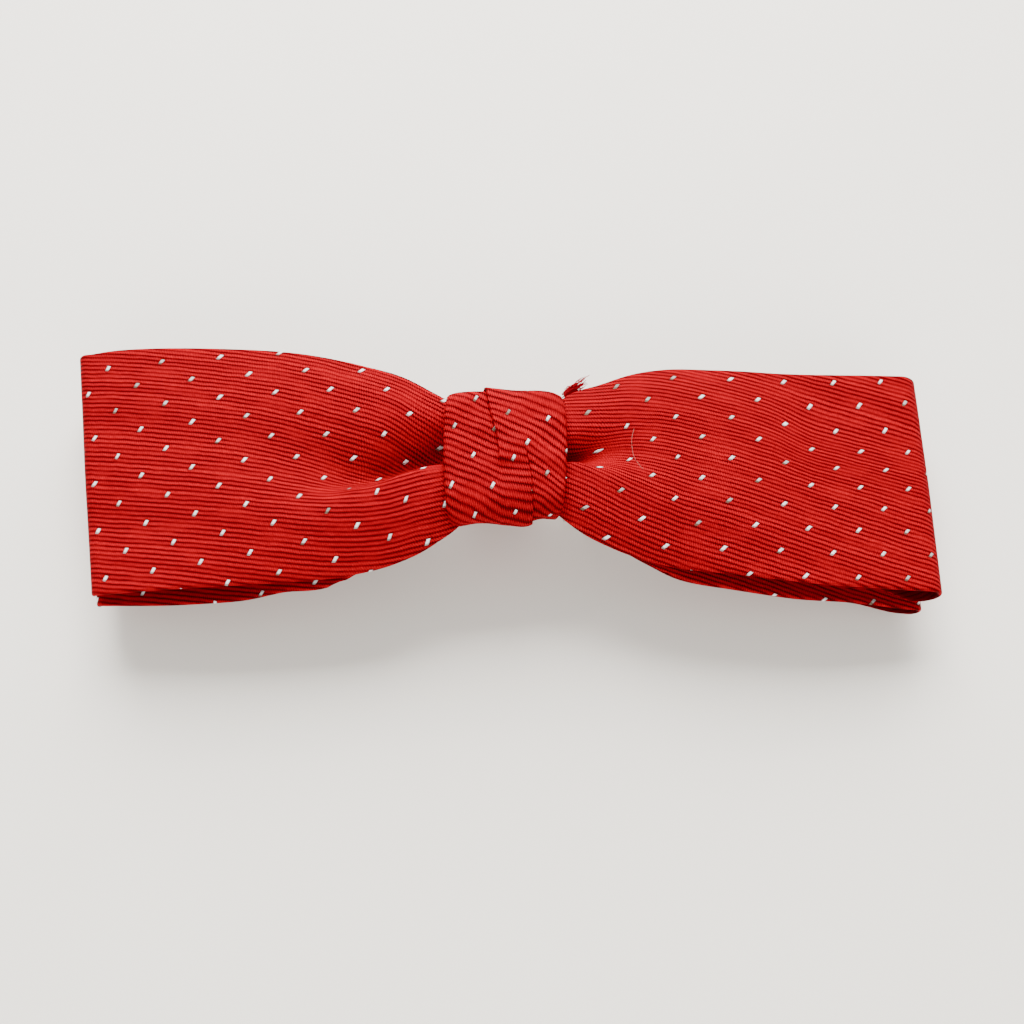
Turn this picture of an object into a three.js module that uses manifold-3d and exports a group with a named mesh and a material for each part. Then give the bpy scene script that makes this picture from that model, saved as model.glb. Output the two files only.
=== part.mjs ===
// Pre-tied clip-on bow tie: two interlined bow bands, bound at the waist, a knot wrap,
// and a clip bar at the back that carries two sprung collar clips.
// Millimetres. X runs along the bow, Y is up when worn, +Z faces forward.
// The tie lies on its clips: z = 0 is the flat underside of the two clip levers.
import * as THREE from "three";
import { mergeVertices } from "three/addons/utils/BufferGeometryUtils.js";
import Module from "manifold-3d";

const wasm = await Module();
wasm.setup();

// Cloth
const PLY = 1.3; // one ply of a bow band: shell, interlining, shell
const SHELL = 0.35; // wall of the shell tube
const LINING_GAP = 0.1; // air between the shell and its interlining
const BOW_GAP = 0.3; // air between the front bow and the back bow
const BACK_BOW_DEPTH = 2 * PLY + BOW_GAP; // the back bow is pressed nearly flat
const BUTT_GAP = 0.4; // half the gap where the two ends of a band meet behind the waist
const CLOTH_STEPS = 6; // facets across a ply

// Heights of the front bow's faces above the table, as [distance from the knot, z]
const FRONT_FACE = [[0, 14.8], [9, 14.8], [20, 14.6], [35, 13.9], [50, 12.3], [60, 10.9]];
const RIGHT_REAR_FACE = [[0, 10.9], [9, 10.9], [27, 10.9], [35, 9.9], [50, 6.6], [60, 5.2]];
const LEFT_REAR_FACE = [[0, 10.9], [9, 10.9], [27, 10.9], [35, 10.2], [50, 8.4], [60, 7.2]];

// Upper and lower edges of the wings, as [distance from the knot, y]
const WAIST_TOP = [[0, 7.8], [5, 7.8], [7, 8.4], [8.6, 9.6]];
const WAIST_BOTTOM = [[0, -3.6], [5, -3.6], [7, -3.9], [8.6, -4.4]];
const RIGHT_TOP = [[9.9, 11.6], [15, 14.1], [22, 16], [30, 16.5], [40, 16.7], [50, 17.4], [61, 18.2]];
const RIGHT_BOTTOM = [[9.9, -8.2], [15, -11], [22, -12.9], [32, -13.8], [42, -14.5], [61, -14.5]];
const LEFT_TOP = [[9.9, 11], [14, 13.2], [20, 14.9], [29, 16.8], [40, 17.9], [52, 17.9], [61, 16.9]];
const LEFT_BOTTOM = [[9.9, -11.7], [14, -13.8], [20, -15.4], [30, -16.5], [42, -17.3], [61, -18.2]];

// Fold ends: distance from the knot to the tip, and how far the fold leans per unit of height
const WINGS = {
  right: {
    sign: 1, frontTip: 61.1, backTip: 59.3, lean: 0, crease: 3.2,
    top: [...WAIST_TOP, ...RIGHT_TOP], bottom: [...WAIST_BOTTOM, ...RIGHT_BOTTOM],
    rearFace: RIGHT_REAR_FACE,
  },
  left: {
    sign: -1, frontTip: 57.8, backTip: 57.9, lean: 0.2, crease: -1.6,
    top: [...WAIST_TOP, ...LEFT_TOP], bottom: [...WAIST_BOTTOM, ...LEFT_BOTTOM],
    rearFace: LEFT_REAR_FACE,
  },
};
const CREASE_WIDTH = 3;
const CREASE_DEPTH = 2.1;
const LOBE_RISE = 1.1;
const CREASE_FADE = 16; // the crease starts to fade at this distance from the knot
const CREASE_END = 38; // and has faded out at this one
const KNOT_HIDES = [4, 9]; // the front ply's relief grows between these distances, inside the knot
const LEAN_START = 25; // the lean of a fold starts at this distance from the knot
const WING_STATIONS = [2.6, 6, 8.5, 9.9, 14, 20, 29, 40, 49];
const FOLD_STEPS = 5;
const FOLD_RUN = 2.5; // straight cloth left between the last station and the start of a fold
const LINING_SIDE = 0.15; // extra room beside the interlining's long edges

// Knot
const KNOT_HALF = 8.4; // half the width of the wrap
const WRAP = 0.8; // thickness of the wrap
// Side views of the wrap and its lining, as [y, z, corner radius] along the middle of the strip
const WRAP_PATH = [
  [3.5, 5, 0], [-4.6, 5, 1.5], [-8.3, 17.3, 4], [11.3, 17.6, 4], [10.6, 3.9, 2], [-1.5, 3.9, 0],
];
const KNOT_LINING_HALF = 6.5;
const KNOT_LINING = 0.6;
const KNOT_LINING_PATH = [[-5.2, 10.5, 0], [-7.1, 16.2, 3], [10.3, 16.4, 3], [10, 9.5, 0]];
const BINDING_HALF = 2.4;
const BINDING = 0.6;
const BINDING_INNER = [[-3.9, 7.4, 0.8], [8.1, 7.4, 0.8], [8.1, 15.1, 0.8], [-3.9, 15.1, 0.8]];
const STITCH_WIRE = 0.16; // radius of the sewing thread
const STITCHES = { passes: 7, half: 6.6, low: 0.3, high: 1.3 }; // zigzag about the wrap's end
const TUFT_RADIUS = 0.4;
const TUFT_PATH = [[8.95, 12.6, 12.2], [9.9, 13.5, 12.9], [10.7, 14.1, 13.7], [11.6, 14.5, 14.2]];

// Clip
const SHEET = 0.5; // thickness of the clip's pressed steel
const BEND = 0.6; // radius where it is bent
const CLIP_Y = 1.6; // centre line of the clips
const BAR = { halfLength: 26, width: 7, bottom: 5.7, thickness: 0.8, corner: 2.5 };
const BASE = { inner: 10.4, outer: 27.2, bottom: 4.9, width: 9 };
const LEVER = { inner: 9.3, bend: 20, lip: 3.5, width: 7 };
const PIN = { x: 14, z: 2.7, radius: 0.5, hole: 0.58, head: 0.85, headThickness: 0.35 };
const RIVET = { places: [18.5, 23], shank: 0.7, hole: 1.05, head: 1.35, headThickness: 0.5 };
const CLEARANCE = 0.3;
const TOOTH = { pitch: 2, depth: 0.5, baseRoot: 0.5, leverRoot: 0.2 };
const EAR = { radius: 1.4, foot: 2.4, steps: 8 }; // rounded end, half length of the foot
const SPRING = { radius: 1.15, wire: 0.22, turns: 3.5, halfLength: 1.9, reach: 3.4, sag: 0.15 };

const CLOTH = { color: 0xb5121b, roughness: 0.75, metalness: 0 };
const CANVAS = { color: 0xe6dfcd, roughness: 0.9, metalness: 0 };
const THREAD = { color: 0x8e0f16, roughness: 0.8, metalness: 0 };
const STEEL = { color: 0xb9bbbe, roughness: 0.3, metalness: 1 };
const SPRING_STEEL = { color: 0x77797d, roughness: 0.35, metalness: 1 };

const tie = new THREE.Group();

function addPiece(name, geometry, finish, parent = tie) {
  const mesh = new THREE.Mesh(geometry, new THREE.MeshStandardMaterial(finish));
  mesh.name = name;
  parent.add(mesh);
}

// ---------- curves ----------

// A smooth function through points sorted by their first value, level beyond its ends.
function through(points) {
  const slope = (i) => {
    const a = points[Math.max(i - 1, 0)];
    const b = points[Math.min(i + 1, points.length - 1)];
    return (b[1] - a[1]) / (b[0] - a[0]);
  };
  return (x) => {
    const last = points.length - 1;
    if (x <= points[0][0]) return points[0][1];
    if (x >= points[last][0]) return points[last][1];
    const i = points.findIndex((p) => p[0] > x) - 1;
    const width = points[i + 1][0] - points[i][0];
    const s = (x - points[i][0]) / width;
    const [a, b] = [points[i][1], points[i + 1][1]];
    const [da, db] = [slope(i) * width, slope(i + 1) * width];
    const bend = (b - a - da) * s * s + (da + db - 2 * (b - a)) * s * s * (s - 1);
    return a + da * s + bend;
  };
}

function smoothStep(from, to, x) {
  return THREE.MathUtils.smoothstep(x, from, to);
}

// A path of straight runs between corners given as [a, b, corner radius].
function roundedPath(corners, closed = false) {
  const points = corners.map(([a, b]) => new THREE.Vector2(a, b));
  const count = points.length;
  const towards = (from, to) => {
    const [start, end] = [points[from], points[to]];
    const reach = Math.min(corners[from][2], start.distanceTo(end) / 2);
    return start.clone().add(end.clone().sub(start).setLength(reach));
  };
  const path = new THREE.Path();
  const first = closed ? 0 : 1;
  const last = closed ? count : count - 1;
  const start = closed ? towards(0, count - 1) : points[0];
  path.moveTo(start.x, start.y);
  for (let i = first; i < last; i++) {
    const before = towards(i, (i + count - 1) % count);
    const after = towards(i, (i + 1) % count);
    if (i > 0) path.lineTo(before.x, before.y);
    path.quadraticCurveTo(points[i].x, points[i].y, after.x, after.y);
  }
  if (!closed) path.lineTo(points[count - 1].x, points[count - 1].y);
  return path.getPoints(5);
}

// The outline of a strip of even thickness that follows a path.
function stripShape(path, thickness) {
  const side = (sign) => path.map((p, i) => {
    const before = path[Math.max(i - 1, 0)];
    const after = path[Math.min(i + 1, path.length - 1)];
    const along = after.clone().sub(before).normalize();
    return new THREE.Vector2(p.x - sign * along.y * thickness / 2, p.y + sign * along.x * thickness / 2);
  });
  return new THREE.Shape([...side(1), ...side(-1).reverse()]);
}

// ---------- solids ----------

// Extrudes a shape drawn in YZ along X, centred on x = 0.
function alongX(shape, width) {
  const geometry = new THREE.ExtrudeGeometry(shape, { depth: width, bevelEnabled: false });
  const turn = new THREE.Matrix4().makeBasis(
    new THREE.Vector3(0, 1, 0), new THREE.Vector3(0, 0, 1), new THREE.Vector3(1, 0, 0));
  return geometry.applyMatrix4(turn).translate(-width / 2, 0, 0);
}

// Extrudes a shape drawn in XZ along Y, from y to y + width.
function alongY(shape, y, width) {
  const geometry = new THREE.ExtrudeGeometry(shape, { depth: width, bevelEnabled: false });
  return geometry.rotateX(Math.PI / 2).translate(0, y + width, 0);
}

function tube(curve, steps, radius, sides) {
  const section = new THREE.Shape();
  section.absarc(0, 0, radius, 0, 2 * Math.PI);
  const rim = new THREE.Shape(section.getPoints(sides).slice(0, sides));
  return new THREE.ExtrudeGeometry(rim, { steps, extrudePath: curve, bevelEnabled: false });
}

function toManifold(geometry) {
  const bare = geometry.clone();
  bare.deleteAttribute("normal");
  bare.deleteAttribute("uv");
  const merged = mergeVertices(bare, 1e-4);
  return new wasm.Manifold(new wasm.Mesh({
    numProp: 3,
    vertProperties: merged.attributes.position.array,
    triVerts: new Uint32Array(merged.index.array),
  }));
}

function fromManifold(solid) {
  const mesh = solid.getMesh();
  const geometry = new THREE.BufferGeometry();
  geometry.setAttribute("position", new THREE.BufferAttribute(mesh.vertProperties, 3));
  geometry.setIndex(new THREE.BufferAttribute(mesh.triVerts, 1));
  geometry.computeVertexNormals();
  return geometry;
}

function join(...geometries) {
  return fromManifold(geometries.map(toManifold).reduce((a, b) => a.add(b)));
}

function cut(geometry, ...tools) {
  return fromManifold(tools.map(toManifold).reduce((a, b) => a.subtract(b), toManifold(geometry)));
}

// Skins a row of closed sections; a second, inner row makes it a tube that is open at both ends.
function loft(sections, bores = null) {
  const count = sections[0].length;
  const vertices = [...sections, ...(bores ?? [])].flat().flatMap((p) => [p.x, p.y, p.z]);
  const index = [];
  const quad = (a, b, c, d) => index.push(a, b, c, a, c, d);
  const at = (row, i) => row * count + (i % count);
  // Facets of the two faces of a ply, and of its bore, are split the same way, so they stay parallel.
  const skin = (first, rows, inward) => {
    for (let r = first; r < first + rows - 1; r++)
      for (let i = 0; i < count; i++) {
        const corners = [at(r, i), at(r, i + 1), at(r + 1, i + 1), at(r + 1, i)];
        const [a, b, c, d] = inward ? corners.reverse() : corners;
        const otherWay = i >= count / 2 !== inward;
        quad(...(otherWay ? [b, c, d, a] : [a, b, c, d]));
      }
  };
  const rows = sections.length;
  skin(0, rows, false);
  if (bores) {
    skin(rows, rows, true);
    for (let i = 0; i < count; i++) {
      quad(at(0, i + 1), at(0, i), at(rows, i), at(rows, i + 1));
      quad(at(rows - 1, i), at(rows - 1, i + 1), at(2 * rows - 1, i + 1), at(2 * rows - 1, i));
    }
  } else {
    for (let i = 0; i < count / 2 - 1; i++) {
      quad(at(0, i + 1), at(0, i), at(0, count - 1 - i), at(0, count - 2 - i));
      quad(at(rows - 1, i), at(rows - 1, i + 1),
        at(rows - 1, count - 2 - i), at(rows - 1, count - 1 - i));
    }
  }
  const geometry = new THREE.BufferGeometry();
  geometry.setAttribute("position", new THREE.Float32BufferAttribute(vertices, 3));
  geometry.setIndex(index);
  geometry.computeVertexNormals();
  return geometry;
}

// ---------- bow bands ----------

const frontFace = through(FRONT_FACE);
for (const wing of Object.values(WINGS)) {
  wing.topAt = through(wing.top);
  wing.bottomAt = through(wing.bottom);
  wing.rearAt = through(wing.rearFace);
}

// The rise of the front ply's lobes and the fall of its crease, near the knot.
// across runs from 0 at the lower edge to 1 at the upper one.
function pleat(wing, distance, y, across) {
  const strength = smoothStep(...KNOT_HIDES, distance) * (1 - smoothStep(CREASE_FADE, CREASE_END, distance));
  const dip = Math.exp(-(((y - wing.crease) / CREASE_WIDTH) ** 2));
  return strength * (1 - (2 * across - 1) ** 4) * (LOBE_RISE - CREASE_DEPTH * dip);
}

// Heights of the outer faces of a bow's front and rear plies at a distance from the knot.
function faceHeights(wing, bow, distance) {
  const rear = wing.rearAt(distance);
  if (bow === "front") return { front: frontFace(distance), rear };
  return { front: rear - BOW_GAP, rear: rear - BOW_GAP - BACK_BOW_DEPTH };
}

// One station of a band: where its outer face is, and which way is out of the loop.
function wingRun(wing, bow) {
  const tip = bow === "front" ? wing.frontTip : wing.backTip;
  const end = faceHeights(wing, bow, tip);
  const radius = (end.front - end.rear) / 2;
  const foldAt = tip - radius;
  const distances = [BUTT_GAP, ...WING_STATIONS, foldAt - FOLD_RUN];
  const rear = distances.map((distance) => ({
    wing, distance, z: faceHeights(wing, bow, distance).rear, outX: 0, outZ: -1, pleated: false,
  }));
  const middle = (end.front + end.rear) / 2;
  const fold = Array.from({ length: FOLD_STEPS + 1 }, (_, i) => {
    const angle = -Math.PI / 2 + (Math.PI * i) / FOLD_STEPS;
    const [outX, outZ] = [Math.cos(angle), Math.sin(angle)];
    return { wing, distance: foldAt + radius * outX, z: middle + radius * outZ, outX, outZ, pleated: false };
  });
  const front = distances.slice(1).reverse().map((distance) => ({
    wing, distance, z: faceHeights(wing, bow, distance).front, outX: 0, outZ: 1, pleated: bow === "front",
  }));
  return [...rear, ...fold, ...front];
}

// The whole band: out along the right rear ply, back over the front, and in along the left rear ply.
function bandStations(bow) {
  const right = wingRun(WINGS.right, bow);
  const left = wingRun(WINGS.left, bow).reverse();
  return [...right, ...left];
}

// A closed section of a band at a station, between two depths under its outer face.
function bandSection(station, fromDepth, toDepth, inset) {
  const { wing, distance, z, outX, outZ, pleated } = station;
  const bottom = wing.bottomAt(distance);
  const height = wing.topAt(distance) - bottom;
  const leaning = wing.lean * smoothStep(LEAN_START, wing.frontTip, distance);
  const rises = Array.from({ length: CLOTH_STEPS + 1 }, (_, i) => {
    const across = i / CLOTH_STEPS;
    return pleated ? pleat(wing, distance, bottom + height * across, across) : 0;
  });
  const point = (step, depth) => {
    const place = THREE.MathUtils.clamp(
      step, (inset / height) * CLOTH_STEPS, (1 - inset / height) * CLOTH_STEPS);
    const facet = Math.min(Math.floor(place), CLOTH_STEPS - 1);
    const rise = THREE.MathUtils.lerp(rises[facet], rises[facet + 1], place - facet);
    const y = bottom + (height * place) / CLOTH_STEPS;
    const x = wing.sign * (distance + leaning * y - outX * depth);
    return new THREE.Vector3(x, y, z + rise - outZ * depth);
  };
  const steps = Array.from({ length: CLOTH_STEPS + 1 }, (_, i) => i);
  return [
    ...steps.map((i) => point(i, fromDepth)),
    ...steps.reverse().map((i) => point(i, toDepth)),
  ];
}

function makeBand(bow) {
  const stations = bandStations(bow);
  const sections = (from, to, inset, list = stations) =>
    list.map((station) => bandSection(station, from, to, inset));
  const outside = sections(0, PLY, 0);
  const inside = sections(SHELL, PLY - SHELL, SHELL);
  const lining = SHELL + LINING_GAP;
  const inner = sections(lining, PLY - lining, SHELL + LINING_SIDE, stations.slice(1, -1));
  addPiece(`${bow}_bow_shell`, loft(outside, inside), CLOTH);
  addPiece(`${bow}_bow_interlining`, loft(inner), CANVAS);
}

// ---------- knot ----------

function makeKnot() {
  const wrap = stripShape(roundedPath(WRAP_PATH), WRAP);
  addPiece("knot_wrap", alongX(wrap, 2 * KNOT_HALF), CLOTH);

  const lining = stripShape(roundedPath(KNOT_LINING_PATH), KNOT_LINING);
  addPiece("knot_interlining", alongX(lining, 2 * KNOT_LINING_HALF), CANVAS);

  const middle = (BINDING_INNER[0][1] + BINDING_INNER[2][1]) / 2;
  const centre = (BINDING_INNER[0][0] + BINDING_INNER[2][0]) / 2;
  const outer = BINDING_INNER.map(([y, z, radius]) => [
    y + BINDING * Math.sign(y - centre), z + BINDING * Math.sign(z - middle), radius + BINDING,
  ]);
  const ring = new THREE.Shape(roundedPath(outer, true));
  ring.holes.push(new THREE.Path(roundedPath(BINDING_INNER, true)));
  addPiece("waist_binding", alongX(ring, 2 * BINDING_HALF), THREAD);
}

// The whip stitches that close the wrap's overlap, a zigzag of thread across its back.
function makeStitches() {
  const { passes, half, low, high } = STITCHES;
  const [end, middle] = WRAP_PATH.at(-1);
  const back = middle - WRAP / 2 - CLEARANCE / 2 - STITCH_WIRE;
  const points = Array.from({ length: passes }, (_, i) => new THREE.Vector3(
    half * ((2 * i) / (passes - 1) - 1), end + (i % 2 ? high : low), back));
  addPiece("closing_stitches", tube(new THREE.CatmullRomCurve3(points), 24, STITCH_WIRE, 5), THREAD);
}

function makeFrayedThread() {
  const curve = new THREE.CatmullRomCurve3(TUFT_PATH.map((p) => new THREE.Vector3(...p)));
  addPiece("frayed_thread", tube(curve, 6, TUFT_RADIUS, 6), THREAD);
}

// ---------- clip ----------

function disc(radius, sides = 16) {
  return Array.from({ length: sides }, (_, i) => {
    const angle = (2 * Math.PI * i) / sides;
    return new THREE.Vector2(radius * Math.cos(angle), radius * Math.sin(angle));
  });
}

function makeBar() {
  const [half, edge] = [BAR.halfLength, BAR.width / 2];
  const ends = [[-half, -edge], [half, -edge], [half, edge], [-half, edge]];
  const corners = ends.map(([x, y]) => [x, y, BAR.corner]);
  const shape = new THREE.Shape(roundedPath(corners, true));
  for (const side of [-1, 1])
    for (const x of RIVET.places)
      shape.holes.push(new THREE.Path(disc(RIVET.hole).map((p) => p.add(new THREE.Vector2(side * x, 0)))));
  const geometry = new THREE.ExtrudeGeometry(shape, { depth: BAR.thickness, bevelEnabled: false });
  addPiece("clip_bar", geometry.translate(0, CLIP_Y, BAR.bottom), STEEL);
}

// A pressed sheet with the side view given as a centre line in XZ, drawn for the right-hand clip.
function pressedSheet(line, width) {
  const path = roundedPath(line.map(([x, z]) => [x, z, BEND]));
  return alongY(stripShape(path, SHEET), -width / 2, width);
}

// A toothed lip across the mouth of a jaw: the teeth point up (1) or down (-1) from height z.
function toothedLip(width, z, direction, root) {
  const points = [new THREE.Vector2(-width / 2, z), new THREE.Vector2(width / 2, z)];
  for (let i = 0; i <= (2 * width) / TOOTH.pitch; i++) {
    const reach = direction * (root + (i % 2 ? TOOTH.depth : 0));
    points.push(new THREE.Vector2(width / 2 - (i * TOOTH.pitch) / 2, z + reach));
  }
  return alongX(new THREE.Shape(points), SHEET).translate(BASE.outer - SHEET / 2, 0, 0);
}

// An ear that reaches from the sheet at height z to the pin, with the pin's hole in it.
function ear(y, z) {
  const reach = z > PIN.z ? 1 : -1;
  const shape = new THREE.Shape();
  const from = reach > 0 ? Math.PI : 0;
  shape.moveTo(PIN.x + reach * EAR.foot, z);
  shape.lineTo(PIN.x + reach * EAR.radius, PIN.z);
  for (let i = 0; i <= EAR.steps; i++) {
    const angle = from + Math.PI - (Math.PI * i) / EAR.steps;
    shape.lineTo(PIN.x + EAR.radius * Math.cos(angle), PIN.z + EAR.radius * Math.sin(angle));
  }
  shape.lineTo(PIN.x - reach * EAR.foot, z);
  shape.holes.push(new THREE.Path(disc(PIN.hole).map((p) => p.add(new THREE.Vector2(PIN.x, PIN.z)))));
  return alongY(shape, y, SHEET);
}

function rivetHole(x) {
  const hole = new THREE.CylinderGeometry(RIVET.hole, RIVET.hole, 8 * SHEET, 16);
  return hole.rotateX(Math.PI / 2).translate(x, 0, BASE.bottom);
}

function clipBase() {
  const centre = BASE.bottom + SHEET / 2;
  const sheet = pressedSheet([[BASE.inner, centre], [BASE.outer, centre]], BASE.width);
  const ears = [BASE.width / 2 - SHEET, -BASE.width / 2].map((y) => ear(y, centre));
  const lip = toothedLip(BASE.width, centre, -1, TOOTH.baseRoot);
  return cut(join(sheet, ...ears, lip), ...RIVET.places.map(rivetHole));
}

function clipLever() {
  const half = SHEET / 2;
  const line = [[LEVER.inner, half], [LEVER.bend, half], [BASE.outer - half, LEVER.lip]];
  const sheet = pressedSheet(line, LEVER.width);
  const ears = [LEVER.width / 2 - SHEET, -LEVER.width / 2].map((y) => ear(y, half));
  const lip = toothedLip(LEVER.width, LEVER.lip, 1, TOOTH.leverRoot);
  return join(sheet, ...ears, lip);
}

function hingePin() {
  const end = BASE.width / 2 + CLEARANCE;
  const profile = [
    [0, -end - PIN.headThickness], [PIN.head, -end - PIN.headThickness], [PIN.head, -end],
    [PIN.radius, -end], [PIN.radius, end], [PIN.head, end],
    [PIN.head, end + PIN.headThickness], [0, end + PIN.headThickness],
  ].map(([r, y]) => new THREE.Vector2(r, y));
  return new THREE.LatheGeometry(profile, 16).translate(PIN.x, 0, PIN.z);
}

function rivet(x) {
  const bottom = BASE.bottom - CLEARANCE;
  const top = BAR.bottom + BAR.thickness + CLEARANCE;
  const profile = [
    [0, bottom - RIVET.headThickness], [RIVET.head, bottom - RIVET.headThickness],
    [RIVET.head, bottom], [RIVET.shank, bottom], [RIVET.shank, top], [RIVET.head, top],
    [RIVET.head, top + RIVET.headThickness], [0, top + RIVET.headThickness],
  ].map(([r, y]) => new THREE.Vector2(r, y));
  return new THREE.LatheGeometry(profile, 12).rotateX(Math.PI / 2).translate(x, 0, 0);
}

// A torsion spring round the pin, with one leg under the base and one on the lever's thumb tab.
function torsionSpring() {
  const { radius, wire, turns, halfLength, reach, sag } = SPRING;
  const steps = turns * 10;
  const points = [];
  const upper = BASE.bottom - CLEARANCE - wire;
  const lower = SHEET + CLEARANCE + wire;
  points.push(new THREE.Vector3(PIN.x - reach, -halfLength, upper));
  points.push(new THREE.Vector3(PIN.x - reach / 2, -halfLength, upper - sag));
  for (let i = 0; i <= steps; i++) {
    const angle = Math.PI / 2 - (2 * Math.PI * turns * i) / steps;
    const y = -halfLength + (2 * halfLength * i) / steps;
    points.push(new THREE.Vector3(PIN.x + radius * Math.cos(angle), y, PIN.z + radius * Math.sin(angle)));
  }
  points.push(new THREE.Vector3(PIN.x - reach / 2, halfLength, lower + sag));
  points.push(new THREE.Vector3(PIN.x - reach, halfLength, lower));
  return tube(new THREE.CatmullRomCurve3(points), 52, wire, 5);
}

function makeClip(side) {
  const clip = new THREE.Group();
  clip.position.y = CLIP_Y;
  if (side === "left") clip.rotation.z = Math.PI;
  addPiece(`${side}_clip_base`, clipBase(), STEEL, clip);
  addPiece(`${side}_clip_lever`, clipLever(), STEEL, clip);
  addPiece(`${side}_hinge_pin`, hingePin(), STEEL, clip);
  addPiece(`${side}_clip_spring`, torsionSpring(), SPRING_STEEL, clip);
  addPiece(`${side}_inner_rivet`, rivet(RIVET.places[0]), STEEL, clip);
  addPiece(`${side}_outer_rivet`, rivet(RIVET.places[1]), STEEL, clip);
  tie.add(clip);
}

makeBand("front");
makeBand("back");
makeKnot();
makeStitches();
makeFrayedThread();
makeBar();
makeClip("left");
makeClip("right");

export default tie;
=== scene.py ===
"""A pre-tied clip-on bow tie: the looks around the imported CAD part.

Lengths are millimetres unless they say metres.
"""

import math

import bmesh
import bpy
import numpy as np
from mathutils import Matrix, Vector


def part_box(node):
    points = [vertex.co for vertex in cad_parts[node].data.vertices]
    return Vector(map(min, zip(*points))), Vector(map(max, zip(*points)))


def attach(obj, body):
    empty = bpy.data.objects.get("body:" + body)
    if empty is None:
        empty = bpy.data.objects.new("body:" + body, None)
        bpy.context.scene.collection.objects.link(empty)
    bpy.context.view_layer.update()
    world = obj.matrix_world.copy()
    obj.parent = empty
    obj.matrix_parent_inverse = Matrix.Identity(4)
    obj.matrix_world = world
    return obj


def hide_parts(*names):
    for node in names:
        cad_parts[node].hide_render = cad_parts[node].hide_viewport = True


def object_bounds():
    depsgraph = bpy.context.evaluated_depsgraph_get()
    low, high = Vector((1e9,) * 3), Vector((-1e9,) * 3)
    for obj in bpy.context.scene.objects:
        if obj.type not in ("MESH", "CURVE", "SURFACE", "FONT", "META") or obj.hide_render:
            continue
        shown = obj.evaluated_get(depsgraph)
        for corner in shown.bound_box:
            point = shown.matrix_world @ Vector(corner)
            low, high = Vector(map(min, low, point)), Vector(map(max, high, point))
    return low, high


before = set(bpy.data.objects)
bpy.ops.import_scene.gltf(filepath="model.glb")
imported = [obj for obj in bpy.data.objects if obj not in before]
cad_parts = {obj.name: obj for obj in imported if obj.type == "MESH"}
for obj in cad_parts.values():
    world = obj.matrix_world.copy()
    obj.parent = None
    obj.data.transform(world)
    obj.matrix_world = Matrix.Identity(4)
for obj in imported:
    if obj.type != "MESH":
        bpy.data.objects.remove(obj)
CAD_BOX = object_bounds()
MM = 0.001

# ---------------------------------------------------------------- sizes, as in the CAD part
PLY = 1.3           # thickness of one padded ply of a bow
BACK_DEPTH = 2.9    # the back bow from its face to its underside
BOW_GAP = 0.3       # between the bows
BUTT_GAP = 0.4      # from the knot's middle to each end of a strip, where the two ends meet
CLEARANCE = 0.04    # the least space between two plies
THINNED = 0.5       # how much thinner a ply gets where the valley is deepest
UNEVENNESS = 0.35   # height of the pressed cloth's slow waves
ROLLED = 0.3        # share of a wing's height that rolls back at the lower edge
VALLEY_SHAPE = 1.7, 2.2     # how squarely the valley's upper and lower side fall off
LOBE_SHAPE = 3.2, 2.4       # how squarely the crown ends at the upper and the lower edge


def through(points):
    """A smooth function through points sorted by their first value, level beyond its ends."""
    xs, ys = np.array(points, float).T
    slope = np.gradient(ys, xs)
    slope[0] = slope[-1] = 0

    def value(x):
        x = np.clip(np.asarray(x, float), xs[0], xs[-1])
        i = np.clip(np.searchsorted(xs, x, side="right") - 1, 0, len(xs) - 2)
        width = xs[i + 1] - xs[i]
        s = (x - xs[i]) / width
        a, b, da, db = ys[i], ys[i + 1], slope[i] * width, slope[i + 1] * width
        return a + da * s + (b - a - da) * s * s + (da + db - 2 * (b - a)) * s * s * (s - 1)

    return value


def step(lo, hi, x):
    """0 up to lo, 1 from hi on, and smooth between them."""
    t = np.clip((np.asarray(x, float) - lo) / (hi - lo), 0, 1)
    return t * t * (3 - 2 * t)


def bell(x, width):
    return np.exp(-((x / width) ** 2))


front_face = through([(0, 14.8), (9, 14.8), (20, 14.6), (35, 13.9), (50, 12.3), (60, 10.9)])
# how far each ply's lower edge is drawn in beside the knot
TUCK = {"front": 0.0, "front_rear": 1.7, "back": 2.3, "back_rear": 3.3}


class Wing:
    """One side of the bows. Distance is measured from the knot's middle along the bow.

    sign                      1 for the right wing, -1 for the left
    front_tip, back_tip       how far each bow reaches
    lean                      how far the tip leans out, per mm of height
    rear, top, bottom         height of the rear ply, and the outline's upper and lower edge
    crease, depth             where the valley beside the knot runs, and how deep it is
    upper_width, lower_width  how far the valley reaches above and below the crease
    lobe_rise, roll           crown of the lobes, and how far the lower edge rolls back
    tuck                      distances between which the gathers at the knot let go
    inner_tuck, curl          how far the front bow's rear ply is tucked up, and from where off the tip
    fold_tuck                 how far the fold's hidden half and the rear plies are tucked up
    back_low                  how far the back bow hangs below the front one
    blend                     half the height over which the rows of both lobes run together
    row_top, row_bottom       how closely the rows follow each edge
    turn                      slope of a row of spots in degrees
    drift, bend               slow unevenness of the rows: along and across them, and near the tip
    pull, pull_width, lift    how far the upper rows are drawn towards the knot, over what height, and lifted
    """

    def __init__(self, **shape):
        self.__dict__.update(shape)


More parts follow.
